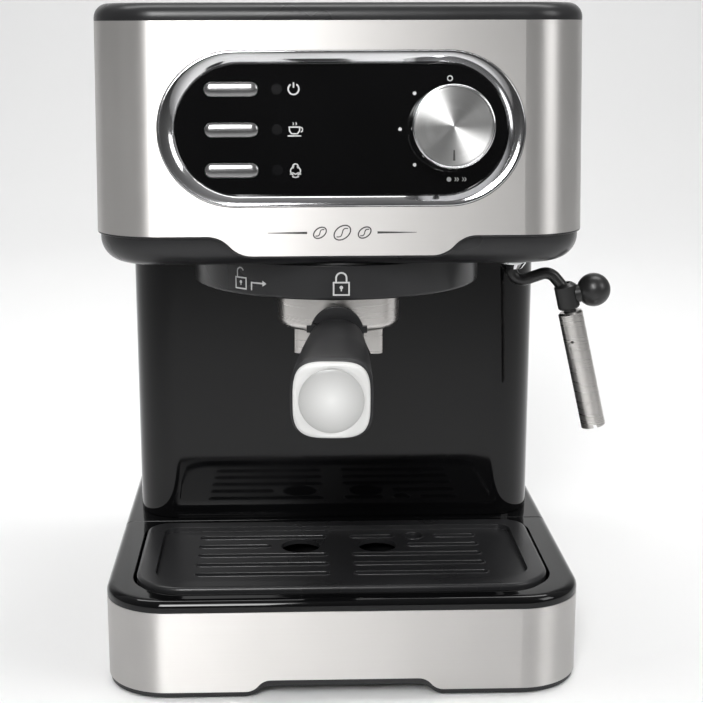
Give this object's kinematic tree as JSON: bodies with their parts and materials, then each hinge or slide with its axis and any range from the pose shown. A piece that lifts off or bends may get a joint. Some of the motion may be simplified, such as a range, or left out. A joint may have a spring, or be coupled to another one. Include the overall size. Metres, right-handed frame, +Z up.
{
  "type": "espresso machine",
  "caption": "Pump espresso machine with a leaning steel front, stadium control panel, locking filter holder, swivelling steam wand, drip tray and rear water tank.",
  "frame": {"origin": "centre of the base's footprint, on the worktop", "axes": "+Z up, +X to the user's right, -Y towards the user"},
  "size_m": [0.2561, 0.3309, 0.326],
  "materials": {
    "black_plastic": "moulded, fine grain",
    "satin_black": "satin",
    "gloss_black": "gloss",
    "brushed_steel": "brushed along its length",
    "bare_steel": "polished, lightly drawn",
    "zinc_steel": "zinc plated",
    "chrome": "polished",
    "spun_metal": "spun, circular grain",
    "satin_silver": "satin silver coating",
    "pale_silver": "pale pearl",
    "black_glass": "glass-clear gloss black",
    "lens": "smoked lens",
    "board": "lacquered circuit board",
    "rubber": "matt",
    "black_silicone": "satin silicone",
    "hose": "translucent silicone",
    "cast_aluminium": "as cast",
    "brass": "machined",
    "copper_pipe": "drawn",
    "pump_body": "glass-filled nylon",
    "smoke_plastic": "smoked, see-through"
  },
  "bodies": {
    "chassis": {"base_pan": "black_plastic", "rubber_feet": "rubber", "base_band": "brushed_steel", "front_deck": "gloss_black", "rear_deck": "gloss_black", "cord_gland": "rubber", "column_shell": "gloss_black", "back_panel": "black_plastic", "back_screws": "zinc_steel", "head_chin": "satin_black", "head_shell": "black_plastic", "head_wrap": "brushed_steel", "top_cap": "satin_black", "cup_plate": "brushed_steel", "panel_ring": "chrome", "control_fascia": "black_glass", "indicator_lenses": "lens", "switch_board": "board", "steam_valve": "brass", "group_collar": "satin_black", "brew_group": "cast_aluminium", "group_gasket": "rubber", "shower_screen": "bare_steel", "shower_screw": "bare_steel", "boiler_seal": "rubber", "boiler_cap": "cast_aluminium", "thermostats": "bare_steel", "wand_nut": "chrome", "tank_seat": "rubber", "pump": "pump_body", "pump_mount_lower": "rubber", "pump_mount_upper": "rubber", "suction_hose": "hose", "pressure_hose": "hose", "steam_feed_pipe": "copper_pipe", "steam_hose": "hose"},
    "drip_tray": {"drip_tray": "black_plastic"},
    "drip_grid": {"drip_grid": "satin_black"},
    "level_float": {"level_float": "satin_black"},
    "power_button": {"power_button": "satin_silver"},
    "brew_button": {"brew_button": "satin_silver"},
    "steam_button": {"steam_button": "satin_silver"},
    "steam_knob": {"steam_knob": "chrome", "knob_disc": "spun_metal", "valve_spindle": "brass"},
    "portafilter": {"portafilter_bowl": "bare_steel", "filter_basket": "bare_steel", "spout": "bare_steel", "portafilter_handle": "black_plastic", "handle_flange": "black_plastic", "handle_stud": "zinc_steel", "handle_end_cap": "pale_silver"},
    "steam_wand": {"wand_pipe": "black_silicone", "wand_grip": "black_silicone"},
    "froth_sleeve": {"froth_sleeve": "bare_steel"},
    "water_tank": {"water_tank": "smoke_plastic", "lid_pin": "zinc_steel", "tank_outlet": "black_plastic"},
    "tank_lid": {"tank_lid": "satin_black"}
  },
  "joints": [
    {"name": "steam_knob_turn", "type": "hinge", "parent": "chassis", "child": "steam_knob", "pos_m": [0.051, -0.10009, 0.2684], "axis": [0, -0.9909, 0.1349], "range_deg": [-180, 0]},
    {"name": "portafilter_lock", "type": "hinge", "parent": "chassis", "child": "portafilter", "pos_m": [0, -0.06, 0.2], "axis": [0, 0, 1], "range_deg": [-40, 0]},
    {"name": "steam_wand_swivel", "type": "hinge", "parent": "chassis", "child": "steam_wand", "pos_m": [0.0875, -0.06, 0.2], "axis": [0, 0, 1], "range_deg": [-110, 40]},
    {"name": "froth_sleeve_pull", "type": "slide", "parent": "steam_wand", "child": "froth_sleeve", "axis": [0.23, 0, -0.9732], "range_m": [0, 0.06]},
    {"name": "drip_tray_lift", "type": "slide", "parent": "chassis", "child": "drip_tray", "axis": [0, 0, 1], "range_m": [0, 0.05]},
    {"name": "drip_grid_lift", "type": "slide", "parent": "drip_tray", "child": "drip_grid", "axis": [0, 0, 1], "range_m": [0, 0.03]},
    {"name": "level_float_rise", "type": "slide", "parent": "drip_tray", "child": "level_float", "axis": [0, 0, 1], "range_m": [0, 0.01]},
    {"name": "water_tank_lift", "type": "slide", "parent": "chassis", "child": "water_tank", "axis": [0, 0, 1], "range_m": [0, 0.08]},
    {"name": "tank_lid_hinge", "type": "hinge", "parent": "water_tank", "child": "tank_lid", "pos_m": [0, 0.1338, 0.3213], "axis": [-1, 0, 0], "range_deg": [0, 95]},
    {"name": "power_button_press", "type": "slide", "parent": "chassis", "child": "power_button", "axis": [0, 0.9909, -0.1349], "range_m": [0, 0.002], "stiffness_N_per_m": 500, "springref_m": -0.001},
    {"name": "brew_button_press", "type": "slide", "parent": "chassis", "child": "brew_button", "axis": [0, 0.9909, -0.1349], "range_m": [0, 0.002], "stiffness_N_per_m": 500, "springref_m": -0.001},
    {"name": "steam_button_press", "type": "slide", "parent": "chassis", "child": "steam_button", "axis": [0, 0.9909, -0.1349], "range_m": [0, 0.002], "stiffness_N_per_m": 500, "springref_m": -0.001}
  ]
}
